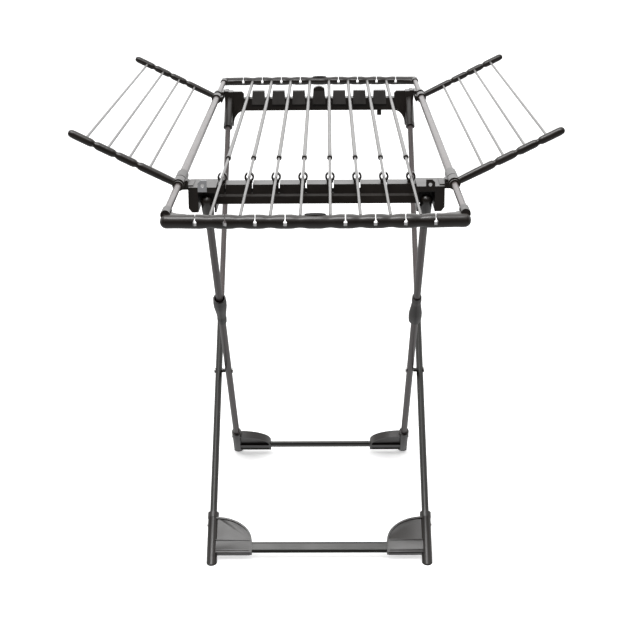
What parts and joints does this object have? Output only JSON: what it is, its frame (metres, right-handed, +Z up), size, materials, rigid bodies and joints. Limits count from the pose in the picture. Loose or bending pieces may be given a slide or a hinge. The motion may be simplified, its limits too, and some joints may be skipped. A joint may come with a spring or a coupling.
{
  "type": "folding clothes airer",
  "caption": "Free-standing folding clothes airer with crossed legs, a rod table whose end frames slide out, and two side wings that fold inward.",
  "frame": {"origin": "on the floor under the middle of the airer, centred between the side rails and between the two end bars", "axes": "+Z up, -Y towards the front end bar, +X to the right seen from the front"},
  "size_m": [1.026, 1.7851, 1.0761],
  "materials": {
    "taupe_tube": "satin",
    "dark_tube": "satin",
    "grey_rod": "satin",
    "black_plastic": "satin moulded",
    "grip_pad": "matt",
    "rubber_pad": "matt",
    "steel": "zinc plated",
    "silver_plate": "silver grey"
  },
  "bodies": {
    "outer_leg_frame": {"outer_leg_lower_left": "dark_tube", "outer_leg_lower_right": "dark_tube", "front_foot_bar": "dark_tube", "outer_leg_upper_left": "taupe_tube", "outer_leg_upper_right": "taupe_tube", "front_foot_left": "black_plastic", "front_foot_right": "black_plastic", "rear_crossbar": "black_plastic", "rear_end_bracket_left": "black_plastic", "rear_end_bracket_right": "black_plastic", "outer_leg_ferrules": "black_plastic", "leg_pivot_spacers": "black_plastic", "front_foot_pads": "rubber_pad", "leg_pivot_rivets": "steel", "table_hinge_pins": "steel", "front_foot_screws": "steel"},
    "inner_leg_frame": {"inner_leg_lower_left": "taupe_tube", "inner_leg_lower_right": "taupe_tube", "inner_leg_upper_left": "taupe_tube", "inner_leg_upper_right": "taupe_tube", "rear_foot_bar": "dark_tube", "rear_foot_left": "black_plastic", "rear_foot_right": "black_plastic", "leg_joiner_left": "black_plastic", "leg_joiner_right": "black_plastic", "inner_leg_cap_left": "black_plastic", "inner_leg_cap_right": "black_plastic", "rear_foot_pads": "rubber_pad", "rear_foot_screws": "steel"},
    "table": {"side_rail_left": "taupe_tube", "side_rail_right": "taupe_tube", "rail_end_bushes": "black_plastic", "rail_stop_collars": "black_plastic", "table_hinge_bracket_left": "black_plastic", "table_hinge_bracket_right": "black_plastic"},
    "front_carriage": {"front_crossbar": "black_plastic", "carriage_housing_left": "black_plastic", "carriage_housing_right": "black_plastic", "rod_guides": "black_plastic", "latch_hinges": "steel"},
    "latch_left": {"latch_plate_left": "silver_plate"},
    "latch_right": {"latch_plate_right": "black_plastic"},
    "front_end_frame": {"front_bar": "black_plastic", "front_grip_pad": "grip_pad", "front_rods": "grey_rod", "front_extension_tube_left": "taupe_tube", "front_extension_tube_right": "taupe_tube"},
    "rear_end_frame": {"rear_bar": "black_plastic", "rod_collars": "black_plastic", "rear_grip_pad": "grip_pad", "rear_rod_tubes": "grey_rod", "rear_extension_tube_left": "taupe_tube", "rear_extension_tube_right": "taupe_tube"},
    "left_wing": {"left_wing_front_arm": "black_plastic", "left_wing_rear_arm": "black_plastic", "left_wing_rods": "grey_rod"},
    "right_wing": {"right_wing_front_arm": "black_plastic", "right_wing_rear_arm": "black_plastic", "right_wing_rods": "grey_rod"},
    "transport_lock": {"transport_lock_knob": "black_plastic"}
  },
  "joints": [
    {"name": "table_lift", "type": "hinge", "parent": "outer_leg_frame", "child": "table", "pos_m": [0, 0.638, 0.96], "axis": [-1, 0, 0], "range_deg": [0, 20.1]},
    {"name": "inner_leg_fold", "type": "hinge", "parent": "outer_leg_frame", "child": "inner_leg_frame", "pos_m": [0, -0.0369, 0.3519], "axis": [-1, 0, 0], "range_deg": [0, 45]},
    {"name": "front_crossbar_slide", "type": "slide", "parent": "table", "child": "front_carriage", "axis": [0, 1, 0], "range_m": [0, 0.562]},
    {"name": "front_frame_slide", "type": "slide", "parent": "table", "child": "front_end_frame", "axis": [0, 1, 0], "range_m": [0, 0.21]},
    {"name": "rear_frame_slide", "type": "slide", "parent": "table", "child": "rear_end_frame", "axis": [0, -1, 0], "range_m": [0, 0.165]},
    {"name": "left_wing_hinge", "type": "hinge", "parent": "table", "child": "left_wing", "pos_m": [-0.287, -0.023, 0.96], "axis": [0, 1, 0], "range_deg": [0, 140]},
    {"name": "right_wing_hinge", "type": "hinge", "parent": "table", "child": "right_wing", "pos_m": [0.287, -0.023, 0.96], "axis": [0, -1, 0], "range_deg": [0, 140]},
    {"name": "left_latch_hinge", "type": "hinge", "parent": "front_carriage", "child": "latch_left", "pos_m": [-0.2395, -0.5775, 0.9425], "axis": [1, 0, 0], "range_deg": [0, 40]},
    {"name": "right_latch_hinge", "type": "hinge", "parent": "front_carriage", "child": "latch_right", "pos_m": [0.2395, -0.5775, 0.9425], "axis": [1, 0, 0], "range_deg": [0, 40]},
    {"name": "lock_knob_turn", "type": "hinge", "parent": "outer_leg_frame", "child": "transport_lock", "pos_m": [0.172, 0.614, 0.9], "axis": [0, 0, 1], "range_deg": [0, 90]}
  ],
  "couplings": [
    {"joint": "inner_leg_fold", "follows": "table_lift", "ratio": 2.2366},
    {"joint": "front_crossbar_slide", "follows": "table_lift", "m_per_rad": 1.6004}
  ]
}
